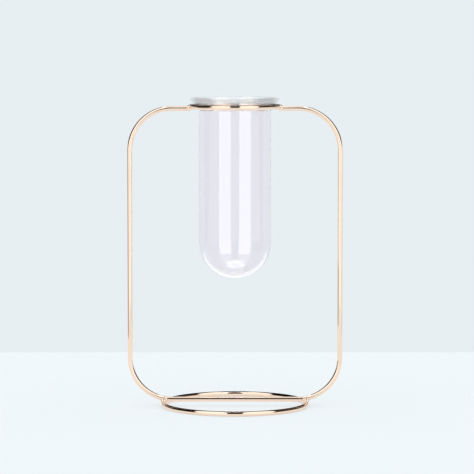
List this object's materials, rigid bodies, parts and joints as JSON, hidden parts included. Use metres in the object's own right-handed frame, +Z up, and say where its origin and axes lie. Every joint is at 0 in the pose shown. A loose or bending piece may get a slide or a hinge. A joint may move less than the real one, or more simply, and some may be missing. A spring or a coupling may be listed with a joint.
{
  "type": "test tube vase",
  "caption": "Bud vase: a round-bottomed glass tube with a flared lip, hung in a ring at the top of an upright wire hoop that stands on a larger wire ring.",
  "frame": {"origin": "on the table, at the centre of the base ring, straight under the tube's centre line", "axes": "+Z up, along the tube; +X to the right, across the hoop; +Y away from the viewer, square to the hoop"},
  "size_m": [0.15, 0.1034, 0.216],
  "materials": {
    "rose_gold_plating": "polished",
    "clear_glass": "polished"
  },
  "bodies": {
    "stand": {"frame_hoop": "rose_gold_plating", "collar_ring": "rose_gold_plating", "base_ring": "rose_gold_plating", "arm_weld_left": "rose_gold_plating", "arm_weld_right": "rose_gold_plating", "foot_weld_left": "rose_gold_plating", "foot_weld_right": "rose_gold_plating"},
    "tube": {"glass_tube": "clear_glass"}
  },
  "joints": [
    {"name": "tube_lift", "type": "slide", "parent": "stand", "child": "tube", "axis": [0, 0, 1], "range_m": [0, 0.135]}
  ]
}
